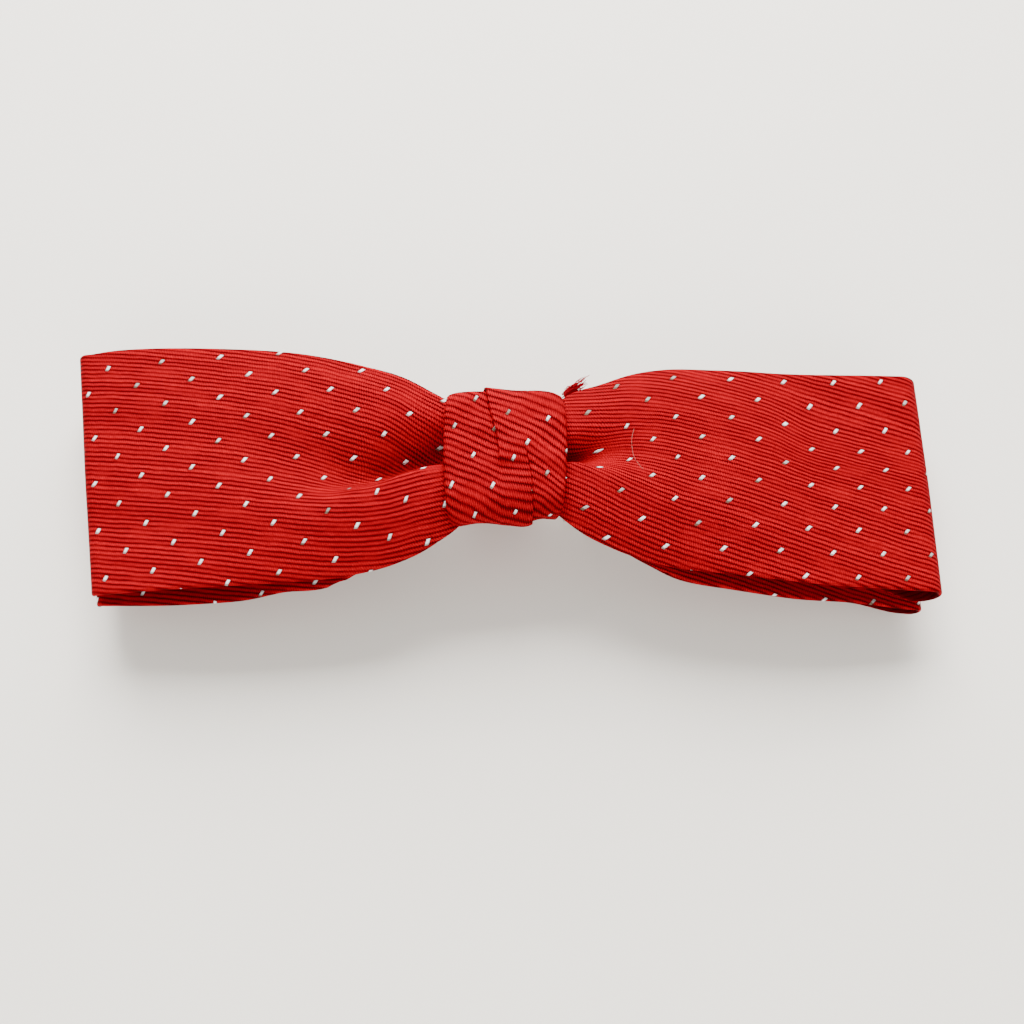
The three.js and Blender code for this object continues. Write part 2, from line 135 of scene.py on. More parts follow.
RIGHT = Wing(
    sign=1, front_tip=61.1, back_tip=60.0, lean=0.0,
    rear=through([(0, 10.9), (9, 10.9), (27, 10.9), (35, 9.9), (50, 6.6), (60, 5.2)]),
    top=through([(0, 7.8), (4, 8.2), (6, 9.3), (7.4, 10.5), (8.4, 11.5), (9.4, 12.1), (12.8, 13.35),
                 (18, 15.4), (22, 16.3), (30, 16.75), (40, 16.95), (50, 17.65), (61, 18.7)]),
    bottom=through([(0, -3.6), (4, -4.4), (6, -5.3), (7.4, -6.4), (8.6, -7.4), (10.8, -8.95), (14, -10.5),
                    (22, -12.9), (32, -13.9), (42, -14.6), (61, -14.5)]),
    crease=through([(8, 2.1), (12, 2.3), (17, 2.5), (22, 2.7), (34, 3.5)]),
    depth=through([(7, 4.0), (9.5, 3.7), (13, 2.3), (18, 0.9), (28, 0)]),
    upper_width=through([(9, 1.4), (13, 2.3), (20, 4.4), (34, 7)]),
    lower_width=through([(9, 0.9), (13, 1.9), (22, 3.5), (34, 6)]),
    lobe_rise=through([(8, 1.4), (14, 1.8), (24, 1.7), (36, 1.0), (50, 0.25), (61, 0.1)]),
    roll=through([(8, 0.8), (20, 1.1), (32, 0.5), (46, 0)]),
    tuck=(12, 25), inner_tuck=1.5, curl=8.0, fold_tuck=0.0,
    back_low=through([(20, 0), (27, 0.7), (34, 0.85), (41, 0.75), (48, 0.35), (60, 0.9)]),
    blend=through([(9, 1.4), (13, 3.0), (18, 6.0), (26, 11)]),
    row_top=0.75, row_bottom=0.45, turn=2.4,
    drift=((6.5, -5.7, -2.2, 1.8), (1.1, 1.3, 0.15, -0.5)), bend=1.4,
    pull=through([(9, 0.9), (20, 0.9), (36, 0.2)]), pull_width=40.0, lift=0.0,
)
LEFT = Wing(
    sign=-1, front_tip=57.8, back_tip=58.3, lean=0.2,
    rear=through([(0, 10.9), (9, 10.9), (27, 10.9), (35, 10.2), (50, 8.4), (60, 7.2)]),
    top=through([(0, 7.8), (4, 8.2), (6.5, 9.3), (8.1, 10.3), (9.9, 11.3), (14, 13.5), (20, 15.3), (29, 17.1),
                 (40, 18.0), (52, 17.9), (61, 16.9)]),
    bottom=through([(0, -3.6), (3.6, -5.2), (5.2, -7.6), (6.2, -8.8), (7.4, -9.8), (8.4, -10.5), (9.9, -11.6),
                    (14, -13.7), (20, -15.4), (30, -16.6), (42, -17.4), (61, -18.2)]),
    crease=through([(8, 1.2), (10, 0.9), (13.5, -0.3), (18, -1.7), (22, -1.8), (28, -0.6), (38, 1.2)]),
    depth=through([(7, 4.6), (9, 4.9), (14, 4.7), (20, 3.4), (27, 1.7), (40, 0)]),
    upper_width=through([(9, 3.6), (14, 4.6), (22, 6.0), (38, 8.5)]),
    lower_width=through([(9, 0.9), (15, 1.2), (20, 1.9), (27, 4.5), (38, 6)]),
    lobe_rise=through([(8, 1.5), (14, 2.0), (24, 1.8), (36, 1.0), (50, 0.2), (61, 0.05)]),
    roll=through([(8, 0.9), (20, 1.3), (34, 0.7), (48, 0)]),
    tuck=(15, 27), inner_tuck=0.8, curl=3.2, fold_tuck=1.6,
    back_low=through([(16, 0), (21.5, 0.7), (28, 0.3), (35, 1.0), (42, 1.0), (49, 0.75), (53, 0.5), (57, 0.3)]),
    blend=through([(9, 0.8), (15, 1.3), (22, 3.0), (32, 9)]),
    row_top=0.65, row_bottom=0.95, turn=7.6,
    drift=((-1.0, -2.8, -1.0, -1.0), (4.5, -3.2, 0.4, -1.4)), bend=0.0,
    pull=through([(9, 2.3), (14.5, 1.6), (21, 0.9), (29, 0)]), pull_width=9.0, lift=0.35,
)


def valley(wing, distance, y):
    """1 along the crease, fading to 0 above and below it."""
    q = y - wing.crease(distance)
    width = np.where(q > 0, wing.upper_width(distance), wing.lower_width(distance))
    return np.exp(-np.abs(q / width) ** np.where(q > 0, *VALLEY_SHAPE))


def lower_edge(wing, distance, layer):
    """The lower edge of a ply. Beside the knot the hidden plies are gathered in more than the front one."""
    gathered = 1 - step(*wing.tuck, distance)
    edge = wing.bottom(distance) + TUCK[layer] * gathered
    from_tip = wing.front_tip - distance
    if layer == "front_rear":
        edge = edge + wing.inner_tuck * (1 - gathered) * step(2.5, wing.curl, from_tip)
    if layer == "back_rear":
        edge = edge + 0.7 * (1 - gathered) * step(4, 12, from_tip)
    if layer.startswith("back"):
        edge = edge - wing.back_low(distance)
    return edge


def undulation(x, y, seed):
    """The slow waves of pressed cloth, between -1 and 1."""
    rng = np.random.default_rng(seed)
    total = np.zeros(np.broadcast(x, y).shape)
    for _ in range(7):
        kx, ky = rng.uniform(0.05, 0.3), rng.uniform(0.05, 0.3)
        px, py = rng.uniform(0, 6.28, 2)
        total += np.sin(kx * x + ky * y + px) * np.cos(ky * x * 0.6 - kx * y + py)
    return total / 7


def stack(wing, distance, y, bow):
    """Heights of a bow's face and of its rear ply's underside, and the thickness of its plies."""
    up = np.clip((y - wing.bottom(distance)) / (wing.top(distance) - wing.bottom(distance)), 0, 1)
    relief = step(4, 9, distance)       # none under the knot
    sunk = valley(wing, distance, y) * relief
    bulge = 1 - np.abs(2 * up - 1) ** np.where(up > 0.5, *LOBE_SHAPE)
    roll = wing.roll(distance) * np.clip(1 - up / ROLLED, 0, 1) ** 2
    ply = PLY - THINNED * np.clip(sunk * wing.depth(distance) / 3, 0, 1)
    face = front_face(distance) + relief * (wing.lobe_rise(distance) * bulge - roll) - wing.depth(distance) * sunk
    face = face + UNEVENNESS * relief * undulation(wing.sign * distance, y, 3)
    rear_top = np.minimum(wing.rear(distance) + PLY, face - ply - CLEARANCE)
    rear = np.minimum(wing.rear(distance), rear_top - ply)
    if bow == "front":
        return face, rear, ply
    back_top = np.minimum(wing.rear(distance) - BOW_GAP, rear - CLEARANCE)
    back_rear = wing.rear(distance) - BOW_GAP - BACK_DEPTH + 0 * y
    return back_top, back_rear, np.minimum(ply, (back_top - back_rear) * 0.46)


# ---------------------------------------------------------------- mesh helpers
RIM = 0.4       # width of a strip's rounded rim
RIM_PLACES = RIM * (1 - np.cos(np.linspace(0, math.pi / 2, 5, endpoint=False)))


def make_mesh(name, verts, faces, attributes=None, smooth=True):
    """An object from vertices in mm. Each attribute is a vector at every vertex."""
    mesh = bpy.data.meshes.new(name)
    mesh.from_pydata((np.asarray(verts) * MM).tolist(), [], faces)
    for key, values in (attributes or {}).items():
        layer = mesh.attributes.new(key, "FLOAT_VECTOR", "POINT")
        layer.data.foreach_set("vector", np.asarray(values, np.float32).ravel())
    mesh.polygons.foreach_set("use_smooth", [smooth] * len(mesh.polygons))
    mesh.update()
    obj = bpy.data.objects.new(name, mesh)
    bpy.context.scene.collection.objects.link(obj)
    return obj


def surface_normals(grid):
    """Unit normals of a grid of points."""
    du = np.gradient(grid, axis=0)
    dv = np.gradient(grid, axis=1)
    n = np.cross(dv, du)
    return n / np.maximum(np.linalg.norm(n, axis=2, keepdims=True), 1e-9)


def spread(length, count):
    """Places across a strip: even inside, and closer towards both of its rounded rims. Returns the places and
    their distance from the nearer rim."""
    middle = np.linspace(RIM, length - RIM, count)
    places = np.concatenate([RIM_PLACES, middle, (length - RIM_PLACES)[::-1]])
    return places, np.minimum(places, length - places)


def padded_strip(name, outer, rim_distance, thickness, attributes, normals=None, inner_face_shade=0.0):
    """A strip with a body from the grid of its outer face: rows follow the strip and columns cross it. Both long
    edges are round. The body lies on the side away from the normals, which are the surface's own if none are
    given. The third value of "spots" on the side that faces inwards is the last argument: how far the material
    paints that side dark as the shade inside the loops."""
    rows = len(outer)
    normals = surface_normals(outer) if normals is None else normals
    half = thickness[..., None] / 2
    inward = np.clip(rim_distance / (thickness / 2), 0, 1)[..., None]
    drop = half * (1 - np.sqrt(np.clip(1 - (1 - inward) ** 2, 0, 1)))
    top, under = outer - normals * drop, outer - normals * (2 * half - drop)
    ring = np.concatenate([top, under[:, ::-1][:, 1:-1]], axis=1)
    size = ring.shape[1]
    idx = np.arange(rows * size).reshape(rows, size)
    nxt = np.roll(idx, -1, axis=1)
    faces = np.stack([idx[:-1], nxt[:-1], nxt[1:], idx[1:]], axis=-1).reshape(-1, 4)
    faces = faces[:, ::-1].tolist()
    faces += [idx[0].tolist(), idx[-1][::-1].tolist()]
    both_sides = {}
    for key, value in attributes.items():
        inner = value[:, ::-1][:, 1:-1] + (0, 0, inner_face_shade * (key == "spots"))
        both_sides[key] = np.concatenate([value, inner], axis=1).reshape(-1, 3)
    obj = make_mesh(name, ring.reshape(-1, 3), faces, both_sides)
    recalc_outwards(obj)
    return obj


def recalc_outwards(obj):
    bm = bmesh.new()
    bm.from_mesh(obj.data)
    bmesh.ops.recalc_face_normals(bm, faces=bm.faces)
    bm.to_mesh(obj.data)
    bm.free()


# ---------------------------------------------------------------- weave coordinates
RIB_PITCH = 0.65
RIB_TURN = -16.0                        # degrees from a row of spots to the ribs
ROW_PITCH, COLUMN_PITCH = 7.35, 6.8     # from spot to spot along a row, and up a column
GATHERED_FROM = 12.0                    # nearer the knot than this, the outlines run in under the wrap
LEVEL_AT = 58                           # distance at which the rows keep their own height
BACK_SHIFT = (2.9, 1.7)                 # where the back bow's cloth lies against the front's
GATHER_STEPS = 200


def weave(u, v, turn):
    """Cloth coordinates in mm (u along the strip, v up across it) to the two coordinates the silk material reads:
    weave = (mm along a rib, rib number) and spots = (column number, row number)."""
    c, s = math.cos(math.radians(turn)), math.sin(math.radians(turn))
    along, up = u * c + v * s, -u * s + v * c
    spots = np.stack([along / ROW_PITCH, up / COLUMN_PITCH, 0 * u], axis=-1)
    c, s = math.cos(math.radians(turn + RIB_TURN)), math.sin(math.radians(turn + RIB_TURN))
    ribs = np.stack([u * c + v * s, (-u * s + v * c) / RIB_PITCH, 0 * u], axis=-1)
    return ribs, spots


def straightened(edge, start):
    """An outline that runs straight on from where it meets the knot."""
    h = 0.5
    slope = (edge(start + h) - edge(start)) / h
    return lambda x: edge(np.maximum(x, start)) + slope * np.minimum(x - start, 0)


def guide_place(edge, strength, reference, x, y):
    """Cloth coordinates along rows that follow a wing's edge. The row's slope is strength times the edge's."""
    h = 0.05
    slope = strength * (edge(x + h) - edge(x - h)) / (2 * h)
    level = reference + strength * (edge(x) - reference)
    foot = x + (y - level) * slope / (1 + slope ** 2)
    return foot, (y - level) * np.sqrt(1 + slope ** 2) / (1 + slope ** 2) + reference


def gathers(wing, distance, y, lo, hi):
    """The cloth taken up by the relief: how much lies below each place across a station, and the whole."""
    at = max(float(distance), GATHERED_FROM)
    bottom, top = float(wing.bottom(at)), float(wing.top(at))
    fine = np.linspace(bottom, top, GATHER_STEPS)
    z = stack(wing, np.full_like(fine, at), fine, "front")[0]
    extra = np.concatenate([[0], np.cumsum(np.hypot(np.diff(fine), np.diff(z)) - np.diff(fine))])
    return np.interp(bottom + (y - lo) / (hi - lo) * (top - bottom), fine, extra), extra[-1]


def wing_cloth(wing, distance, y, below=0.0, total=0.0):
    """u, v of a point of a wing's face, blended across the crease from the rows of one lobe to those of the
    other. The cloth taken up by the relief (below the point, and in total) is counted from each edge."""
    top, bottom = wing.top(LEVEL_AT), wing.bottom(LEVEL_AT)
    u1, v1 = guide_place(straightened(wing.top, GATHERED_FROM), wing.row_top, top, distance, y)
    u2, v2 = guide_place(straightened(wing.bottom, GATHERED_FROM), wing.row_bottom, bottom, distance, y)
    v1, v2 = v1 - (total - below), v2 + below
    u1 = u1 + wing.pull(distance) * bell(y, wing.pull_width)
    v1 = v1 - wing.lift
    narrow = wing.blend(distance)
    w = step(-narrow, narrow, y - wing.crease(distance) + 0.3)
    warp = wing.bend * step(36, 44, distance) * bell(y - 7, 5.5)
    return wing.sign * (u2 + (u1 - u2) * w), v2 + (v1 - v2) * w + warp


def closeness(grid, rib):
    """0 where the ribs lie at their own pitch, up to 1 where gathers squeeze them together and they close up."""
    width = np.maximum(np.linalg.norm(np.gradient(grid, axis=1), axis=2), 1e-3)
    return step(1.25, 1.9, np.abs(np.gradient(rib, axis=1)) / width * RIB_PITCH)


# ---------------------------------------------------------------- the two bows
STATION_SPACING = 0.8
STATION_COLUMNS = 46
SECTION_STEPS = 241
FOLD_STATIONS = 22
EDGE_PLY = 0.56         # the ply's thickness at a pressed edge, as a share of its own
PRESSED = 3.5           # how far in from the edge it is pressed


def wing_run(wing, bow):
    """The fold's radius and distance, and the stations of one wing from the middle of the rear ply, round the
    fold, to the middle of the front ply. A station is its kind, its distance and its angle round the fold."""
    tip = wing.front_tip if bow == "front" else wing.back_tip
    face, rear, _ = stack(wing, np.array(tip - 2.0), np.array(0.0), bow)
    radius = float(face - rear) / 2
    fold = tip - radius
    run = [("rear", d, 0.0) for d in np.arange(BUTT_GAP, fold, STATION_SPACING)]
    run += [("fold", fold, a) for a in np.linspace(-math.pi / 2, math.pi / 2, FOLD_STATIONS)]
    run += [("front", d, 0.0) for d in np.arange(fold, 0.2, -STATION_SPACING)][1:]
    return radius, fold, run


def bow_section(wing, bow, kind, d, angle, radius):
    """One station: its points, their distance from the nearer edge, the thickness there, and the heights of both
    edges."""
    layer = bow + ("_rear" if kind == "rear" else "")
    lo, hi = float(lower_edge(wing, np.array(float(d)), layer)), float(wing.top(d))
    if kind != "front":
        lo += wing.fold_tuck * (float(1 - step(-1.4, 0.4, angle)) if kind == "fold" else 1.0)
    fine = np.linspace(lo, hi, SECTION_STEPS)
    face, rear, ply = stack(wing, np.full_like(fine, d), fine, bow)
    z = rear if kind == "rear" else face
    if kind == "fold":
        z = (face + rear) / 2 + (face - rear) / 2 * math.sin(angle)
    arc = np.concatenate([[0], np.cumsum(np.hypot(np.diff(fine), np.diff(z)))])
    places, rim = spread(arc[-1], STATION_COLUMNS)
    y = np.interp(places, arc, fine)
    z = np.interp(places, arc, z)
    thick = np.interp(places, arc, ply) * (EDGE_PLY + (1 - EDGE_PLY) * step(0, PRESSED, rim))
    out = radius * math.cos(angle) if kind == "fold" else 0.0
    lean = wing.lean * step(25, wing.front_tip, d) * y
    bow_out = 0.04 * np.cos(np.clip((y - lo) / (hi - lo), 0, 1) * 2 * math.pi) * step(40, 60, d)
    x = wing.sign * (d + lean + out - bow_out)
    return np.stack([x, y, z], axis=-1), rim, thick, lo, hi


def bow_weave(wing, bow, kind, d, angle, radius, fold, y, lo, hi):
    """Ribs and spots across one station: the front ply's as it lies, carried on round the fold and along the
    rear ply."""
    if kind == "front":
        u, v = wing_cloth(wing, np.full_like(y, d), y, *gathers(wing, d, y, lo, hi))
    else:
        beyond = radius * (math.pi / 2 - angle) if kind == "fold" else radius * math.pi + (fold - d)
        u, v = wing_cloth(wing, np.full_like(y, fold), y)
        u = u + wing.sign * beyond
        v = v + (0 if kind == "fold" else (y - v) * step(fold, fold - 12, d))
    if bow == "back":
        u, v = u + BACK_SHIFT[0], v + BACK_SHIFT[1]
    ribs, spots = weave(u, v, wing.turn)
    terms = (1, wing.sign * min(d, fold) / 30, y / 15, (d / 30) ** 2)
    for k, (pitch, row) in enumerate(zip((ROW_PITCH, COLUMN_PITCH), wing.drift)):
        spots[:, k] += sum(c * t for c, t in zip(row, terms)) / pitch
    return ribs, spots


def make_bow(name, bow, nodes):
    wings = []
    for wing in (RIGHT, LEFT):
        radius, fold, run = wing_run(wing, bow)
        rows = []
        for kind, d, angle in run:
            points, rim, thick, lo, hi = bow_section(wing, bow, kind, d, angle, radius)
            ribs, spots = bow_weave(wing, bow, kind, d, angle, radius, fold, points[:, 1], lo, hi)
            rows.append((points, rim, thick, ribs, spots))
        wings.append([np.array(column) for column in zip(*rows)])
    grid, rim, thick, ribs, spots = [np.concatenate([a, b[::-1]]) for a, b in zip(*wings)]
    ribs[..., 2] = closeness(grid, ribs[..., 1])
    # the loops' inner faces are marked for painted shade
    obj = padded_strip(name, grid, rim, thick, {"weave": ribs, "spots": spots}, inner_face_shade=1.0)
    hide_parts(*nodes)
    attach(obj, "tie")
    return obj


front_bow = make_bow("front_bow", "front", ["front_bow_shell", "front_bow_interlining"])
back_bow = make_bow("back_bow", "back", ["back_bow_shell", "back_bow_interlining"])


# ---------------------------------------------------------------- the knot
WRAP = 0.8              # thickness of the wrap
KNOT_HALF = 8.4
KNOT_TOP = 11.0         # height at which the wrap leaves the front
# the wrap's path in y and z, seen from the side, and how far each corner is rounded
WRAP_PATH = [(3.5, 5, 0), (-3.0, 5, 1.5), (-8.5, 17.5, 5.2), (11.3, 17.6, 4), (10.6, 3.9, 2), (-1.5, 3.9, 0)]
# half width of the wrap to the left and right by height on its front, and the two pleat folds' places
WRAP_LEFT = through([(-12, 7.2), (-8.5, 7.5), (-6, 7.8), (-3, 8.1), (2, 8.35), (8, 8.2), (11, 7.7), (16, 7.3)])
WRAP_RIGHT = through([(-12, 7.4), (-8.5, 7.9), (-6, 8.05), (-2, 8.25), (3, 8.4), (8, 8.0), (12, 7.4), (16, 7.1)])
FOLD_A = through([(-12, -0.6), (-1.6, -0.75), (1, -1.0), (3.4, -1.5), (5.4, -2.05), (7.5, -2.5), (11.3, -3.3),
                  (17, -3.7)])
FOLD_B = through([(-12, 3.9), (-6, 3.6), (-3.5, 3.3), (-1.1, 2.9), (0.7, 2.4), (3, 2.0), (7.6, 1.6), (17, 1.4)])
FOLD_STEP = 0.5
FRONT_RANGE = (-13, -9), (17, 22)       # heights over which the wrap's front begins and ends
FOLD_A_BEGINS = (-2.2, -1.1)
FOLD_B_BEGINS, FOLD_B_ENDS = (-16, -10), (0.7, 2.0)
KNOT_COLUMNS = 22, 16, 20               # to the left of fold A, between the folds, and to the right of fold B
# a fold's lip, crossed from its low side: how far it reaches over the low side, and its height. FLAT_X: no lip
LIP_X = np.array([-0.12, 0.18, 0.20, 0.08, -0.05, -0.05, 0.10])
LIP_HEIGHT = np.array([-0.10, -0.15, 0.10, 0.35, 0.62, 0.90, 1.0])
FLAT_X = np.linspace(-0.12, 0.12, len(LIP_X))
LIP_ROOM = 0.2          # left free for a lip on either side of its fold
# by place across the front: how far the spots sit up near the lower edge, and how far that edge hangs down
CLOTH_RISE = through([(-8, 0.5), (-4.7, 1.0), (1, 2.8), (7, 2.7)])
LOWER_LINE = through([(-7, 1.1), (-3.5, 0.3), (0.7, 0.1), (3.4, -0.1), (4.2, -0.45), (7.5, -0.35)])
# the two slanted steps from spot to spot, and the strip's ribs: stretched along x, mm from rib to rib
SPOT_STEPS = (2.65, -4.3), (-2.75, -3.85)
KNOT_STRETCH, KNOT_RIB = 1.06, 0.95


def rounded_path(corners, spacing):
    """Points along an open polyline whose corners are rounded by quadratic curves, evenly spaced."""
    pts = np.array([c[:2] for c in corners], float)
    out = [pts[0]]
    for i in range(1, len(pts) - 1):
        to_last, to_next = pts[i - 1] - pts[i], pts[i + 1] - pts[i]
        reach = min(corners[i][2], np.linalg.norm(to_last) / 2, np.linalg.norm(to_next) / 2)
        a = pts[i] + to_last / np.linalg.norm(to_last) * reach
        b = pts[i] + to_next / np.linalg.norm(to_next) * reach
        for t in np.linspace(0, 1, 12):
            out.append((1 - t) ** 2 * a + 2 * t * (1 - t) * pts[i] + t * t * b)
    out.append(pts[-1])
    out = np.array(out)
    arc = np.concatenate([[0], np.cumsum(np.linalg.norm(np.diff(out, axis=0), axis=1))])
    places = np.linspace(0, arc[-1], int(arc[-1] / spacing) + 1)
    return np.stack([np.interp(places, arc, out[:, 0]), np.interp(places, arc, out[:, 1])], axis=1), places


def wrap_frame():
    """The wrap's path, its outward directions, and the place along it as a height: that of the front, carried on
    over the top and under the bottom."""
    path, places = rounded_path(WRAP_PATH, 0.3)
    top_index = np.argmin(np.abs(path[:, 0] - KNOT_TOP) + (path[:, 1] < 14) * 100)
    tangent = np.gradient(path, axis=0)
    tangent /= np.linalg.norm(tangent, axis=1, keepdims=True)
    outward = np.stack([-tangent[:, 1], tangent[:, 0]], axis=1)
    middle = np.array([1.5, 10.5])
    outward *= np.sign(((path - middle) * outward).sum(1))[:, None]
    return path, outward, KNOT_TOP + (places - places[top_index]), float(places[-1])


def wrap_section(place, outward, s):
    """One row across the wrap at height s: its points, their distance from the nearer edge, ribs and spots."""
    lo, hi = -float(WRAP_LEFT(s)), float(WRAP_RIGHT(s))
    a, b = float(FOLD_A(s)), float(FOLD_B(s))
    on_front = float(step(*FRONT_RANGE[0], s) * (1 - step(*FRONT_RANGE[1], s)))
    fold_a = float(step(*FOLD_A_BEGINS, s)) * on_front
    fold_b = float(1 - step(*FOLD_B_ENDS, s)) * float(step(*FOLD_B_BEGINS, s))
    left_of_a = np.linspace(lo + RIM, a - LIP_ROOM, KNOT_COLUMNS[0])
    between = np.linspace(a + LIP_ROOM, b - LIP_ROOM, KNOT_COLUMNS[1])
    right_of_b = np.linspace(b + LIP_ROOM, hi - RIM, KNOT_COLUMNS[2])
    x = np.concatenate([lo + RIM_PLACES, left_of_a, a + fold_a * LIP_X + (1 - fold_a) * FLAT_X, between,
                        b - (fold_b * LIP_X + (1 - fold_b) * FLAT_X)[::-1], right_of_b, hi - RIM_PLACES[::-1]])
    lip = len(LIP_X)
    before_a = len(RIM_PLACES) + len(left_of_a)
    before_b = before_a + lip + len(between)
    past_b = len(right_of_b) + len(RIM_PLACES)
    over_a = np.concatenate([np.zeros(before_a), LIP_HEIGHT, np.ones(len(between) + lip + past_b)])
    over_b = np.concatenate([np.ones(before_b), LIP_HEIGHT[::-1], np.zeros(past_b)])
    column = np.arange(len(x))
    right_of_a = (column >= before_a + 2).astype(float)
    past_lip_b = (column >= before_b + 5).astype(float)

    near = np.minimum(x - lo, hi - x)
    lift = FOLD_STEP * (fold_a * over_a * np.exp(-np.maximum(x - a, 0) / 9)
                        + fold_b * over_b * np.exp(-np.maximum(b - x, 0) / 4.0))
    dome = 0.5 * np.clip(1 - (x / KNOT_HALF) ** 2, 0, 1) ** 0.8 - 0.75 * np.exp(-near / 0.9)
    wave = 0.14 * np.sin(s * 0.55 + x * 0.35) + 0.08 * np.sin(s * 1.1 - x * 0.8 + 2)
    settle = -1.0 * float(step(8.5, 11, s)) * (1 + 1.4 * (1 - right_of_a))
    lowered = LOWER_LINE(x) * float((1 - step(-11, 1, s)) * step(-27, -19, s))
    raise_by = WRAP / 2 + (settle + dome * 0.9 + wave) * on_front + lift * (0.2 + 0.8 * on_front)
    pos = place[None, :] + outward[None, :] * raise_by[:, None]
    points = np.stack([x, pos[:, 0] - lowered, pos[:, 1]], axis=-1)

    # the ribs break at a fold, and run on where it fades
    rise_left = 0.47 * (x + 8) - 0.33 * np.maximum(x - (a + LIP_ROOM), 0)
    rise_right = (0.20 + 0.44 * float(1 - step(-4, 10, s))) * x + 2.5
    turned = float(step(-2.5, 4.4, s)) * on_front
    w = turned * right_of_a + (1 - turned) * past_lip_b
    v = s + rise_left * (1 - w) + rise_right * w
    ribs = np.stack([x * KNOT_STRETCH, v / KNOT_RIB, 0 * x], axis=-1)

    # half-drop spots
    (x1, y1), (x2, y2) = SPOT_STEPS
    det = x1 * y2 - y1 * x2
    drawn_up = float(1 - step(-10, -5.5, s))
    px, py = x + 6.9 + 0.97 * w - 0.8 * drawn_up, s - 3.5 + 1.6 * w - CLOTH_RISE(x) * drawn_up
    i1 = (px * y2 - py * x2) / det
    i2 = (x1 * py - y1 * px) / det
    return points, near, ribs, np.stack([(i1 - i2) / 2, -(i1 + i2) / 2, 0 * x], axis=-1)


def make_knot():
    path, outward, heights, length = wrap_frame()
    sections = zip(*(wrap_section(*row) for row in zip(path, outward, heights)))
    grid, near, ribs, spots = map(np.array, sections)
    normals = np.zeros_like(grid)
    normals[..., 1:] = outward[:, None]
    obj = padded_strip("knot", grid, near, np.full_like(near, WRAP), {"weave": ribs, "spots": spots}, normals)
    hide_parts("knot_wrap", "knot_interlining")
    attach(obj, "tie")
    return obj, length


knot, knot_length = make_knot()


# ---------------------------------------------------------------- threads
TUFT_FIBRES = 90
HAIR_PLACES = [(17.7, 6.0), (17.4, 4.8), (17.4, 3.4), (17.6, 2.2), (18.1, 0.9), (18.8, -0.1)]
STITCHES = 11
STITCH_SLANT = 0.35
THREAD_RADIUS = 0.10
PLY_OFFSET = 0.05       # from the thread's middle to the middle of each of its two plies


def strand(points, radius, spacing=0.12, sides=6, seed=0, fuzz=0.0):
    """Rings of a round strand through points in mm, thinner at its end, with the twist's small unevenness."""
    rng = np.random.default_rng(seed)
    pts = np.array(points, float)
    arc = np.concatenate([[0], np.cumsum(np.linalg.norm(np.diff(pts, axis=0), axis=1))])
    count = max(int(arc[-1] / spacing), 4)
    t = np.linspace(0, arc[-1], count)
    centre = np.stack([through(np.stack([arc, pts[:, k]], axis=1))(t) for k in range(3)], axis=1)
    centre[1:] += rng.normal(0, fuzz, (count - 1, 3))
    tangent = np.gradient(centre, axis=0)
    tangent /= np.linalg.norm(tangent, axis=1, keepdims=True)
    side = np.cross(tangent, [0.3, 0.5, 0.81])
    side /= np.linalg.norm(side, axis=1, keepdims=True)
    other = np.cross(tangent, side)
    angle = np.linspace(0, 2 * math.pi, sides, endpoint=False)
    size = radius * (1 - 0.55 * (t / arc[-1]) ** 2) * (1 + 0.18 * np.sin(t * 9 + seed))
    around = np.cos(angle)[None, :, None] * side[:, None] + np.sin(angle)[None, :, None] * other[:, None]
    return centre[:, None] + size[:, None, None] * around


def strands_mesh(name, rings):
    verts, faces, start = [], [], 0
    for ring in rings:
        rows, sides = ring.shape[:2]
        idx = start + np.arange(rows * sides).reshape(rows, sides)
        nxt = np.roll(idx, -1, axis=1)
        faces += np.stack([idx[:-1], nxt[:-1], nxt[1:], idx[1:]], axis=-1).reshape(-1, 4).tolist()
        faces += [idx[0][::-1].tolist(), idx[-1].tolist()]
        verts.append(ring.reshape(-1, 3))
        start += rows * sides
    obj = make_mesh(name, np.concatenate(verts), faces)
    recalc_outwards(obj)
    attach(obj, "tie")
    return obj


def box_mm(node):
    low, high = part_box(node)
    return np.array(low) / MM, np.array(high) / MM


def make_tuft():
    """A yarn end that has come out from under the wrap and frayed into loose fibres."""
    rng = np.random.default_rng(12)
    root, tip = box_mm("frayed_thread")
    rings = []
    for k in range(TUFT_FIBRES):
        bend = rng.normal(0, 0.30, 3)
        reach = 0.85 * rng.uniform(0.35, 1.0) ** 1.3
        foot = root + (0.0, 0.1, 0.3) + rng.normal(0, 0.20, 3)
        end = foot + (tip - root) * (1.0, 0.75, 0.85) * reach + rng.normal(0, 0.42, 3) * reach
        middle = (foot + end) / 2 + bend * (0.6, 0.6, 0.5) + (0, 0.18, 0)
        rings.append(strand([foot, (foot + middle) / 2 + rng.normal(0, 0.06, 3), middle,
                             (middle + end) / 2 + rng.normal(0, 0.12, 3), end],
                            rng.uniform(0.045, 0.095), 0.16, 5, k, 0.012))
    obj = strands_mesh("frayed_yarn_end", rings)
    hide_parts("frayed_thread")
    return obj


def make_stray_hair():
    """A pale hair-fine fibre that lies on the right wing."""
    points = []
    for d, y in HAIR_PLACES:
        face, _, _ = stack(RIGHT, np.array([d]), np.array([y]), "front")
        points.append((d, y, float(face[0]) + 0.06))
    obj = strands_mesh("stray_fibre", [strand(points, 0.022, 0.25, 5, 3)])
    return obj


